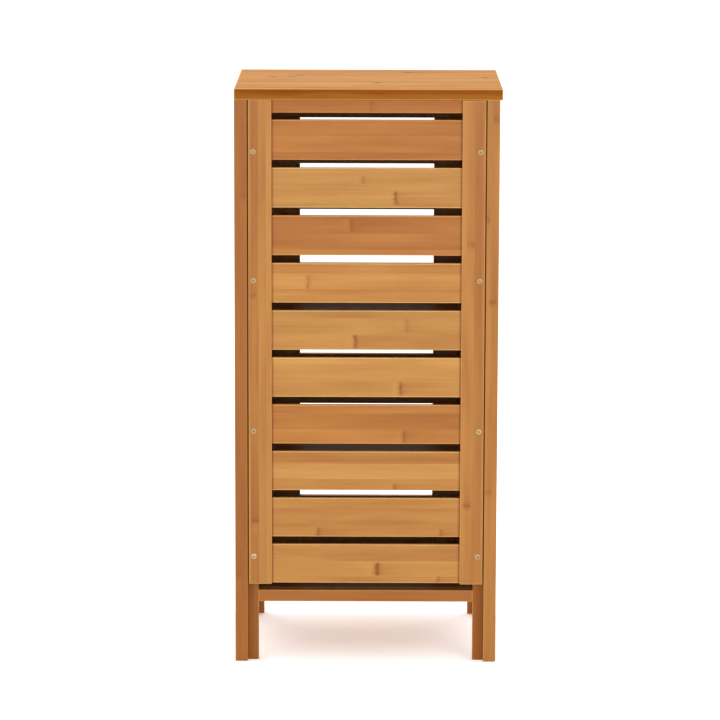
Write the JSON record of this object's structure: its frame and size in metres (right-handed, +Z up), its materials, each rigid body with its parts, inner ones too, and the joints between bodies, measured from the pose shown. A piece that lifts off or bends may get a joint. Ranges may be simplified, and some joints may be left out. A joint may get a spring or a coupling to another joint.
{
  "type": "slatted storage cabinet",
  "caption": "Tall narrow laminated-bamboo cabinet on plain legs, with a slatted back, a hinged slatted door with a round knob, closed sides and fixed inner shelves.",
  "frame": {"origin": "on the floor under the centre of the whole outline, knob included", "axes": "+Z up, +Y towards the hinged door, -Y towards the closed slatted back, +X across"},
  "size_m": [0.4, 0.3392, 0.8744],
  "materials": {
    "bamboo_top": "satin lacquer on laminated bamboo",
    "bamboo_legs": "satin lacquer on laminated bamboo",
    "bamboo_slats": "satin lacquer on laminated bamboo",
    "bamboo_frames": "satin lacquer on laminated bamboo",
    "bamboo_sides": "satin lacquer on laminated bamboo",
    "bamboo_inner": "satin lacquer on laminated bamboo",
    "bamboo_knob": "satin lacquer on turned bamboo",
    "screw_metal": "brushed, yellow passivated",
    "hinge_metal": "brushed, nickel plated",
    "hinge_screw_metal": "nickel plated",
    "catch_plastic": "moulded, fine grained",
    "strike_steel": "zinc plated"
  },
  "bodies": {
    "cabinet": {"back_panel_screws": "screw_metal", "back_slat_01": "bamboo_slats", "back_slat_02": "bamboo_slats", "back_slat_03": "bamboo_slats", "back_slat_04": "bamboo_slats", "back_slat_05": "bamboo_slats", "back_slat_06": "bamboo_slats", "back_slat_07": "bamboo_slats", "back_slat_08": "bamboo_slats", "back_slat_09": "bamboo_slats", "back_slat_10": "bamboo_slats", "back_stile_left": "bamboo_frames", "back_stile_right": "bamboo_frames", "back_top_rail": "bamboo_frames", "batten_front_left": "bamboo_legs", "batten_front_right": "bamboo_legs", "batten_rear_left": "bamboo_legs", "batten_rear_right": "bamboo_legs", "bottom_board": "bamboo_inner", "catch_body": "catch_plastic", "frame_screws": "screw_metal", "front_bottom_rail": "bamboo_inner", "front_top_rail": "bamboo_inner", "hinge_frame_leaves": "hinge_metal", "hinge_frame_screws": "hinge_screw_metal", "hinge_pins": "hinge_metal", "lower_shelf": "bamboo_inner", "post_front_left": "bamboo_legs", "post_front_right": "bamboo_legs", "post_rear_left": "bamboo_legs", "post_rear_right": "bamboo_legs", "rear_bottom_rail": "bamboo_inner", "rear_top_rail": "bamboo_inner", "shelf_cleats_left": "bamboo_inner", "shelf_cleats_right": "bamboo_inner", "side_bottom_rail_left": "bamboo_sides", "side_bottom_rail_right": "bamboo_sides", "side_panel_left": "bamboo_sides", "side_panel_right": "bamboo_sides", "side_top_rail_left": "bamboo_sides", "side_top_rail_right": "bamboo_sides", "top_board": "bamboo_top", "upper_shelf": "bamboo_inner"},
    "door": {"door_bottom_rail": "bamboo_frames", "door_hardware_screws": "hinge_screw_metal", "door_hinge_stile": "bamboo_frames", "door_knob": "bamboo_knob", "door_knob_stile": "bamboo_frames", "door_middle_rail": "bamboo_frames", "door_slat_1": "bamboo_slats", "door_slat_2": "bamboo_slats", "door_slat_3": "bamboo_slats", "door_slat_4": "bamboo_slats", "door_slat_5": "bamboo_slats", "door_slat_6": "bamboo_slats", "door_slat_7": "bamboo_slats", "door_top_rail": "bamboo_frames", "knob_screw": "hinge_screw_metal", "hinge_door_leaves": "hinge_metal", "catch_strike": "strike_steel"}
  },
  "joints": [
    {"name": "door_hinge", "type": "hinge", "parent": "cabinet", "child": "door", "pos_m": [-0.1637, 0.1506, 0.484], "axis": [0, 0, 1], "range_deg": [0, 110]}
  ]
}
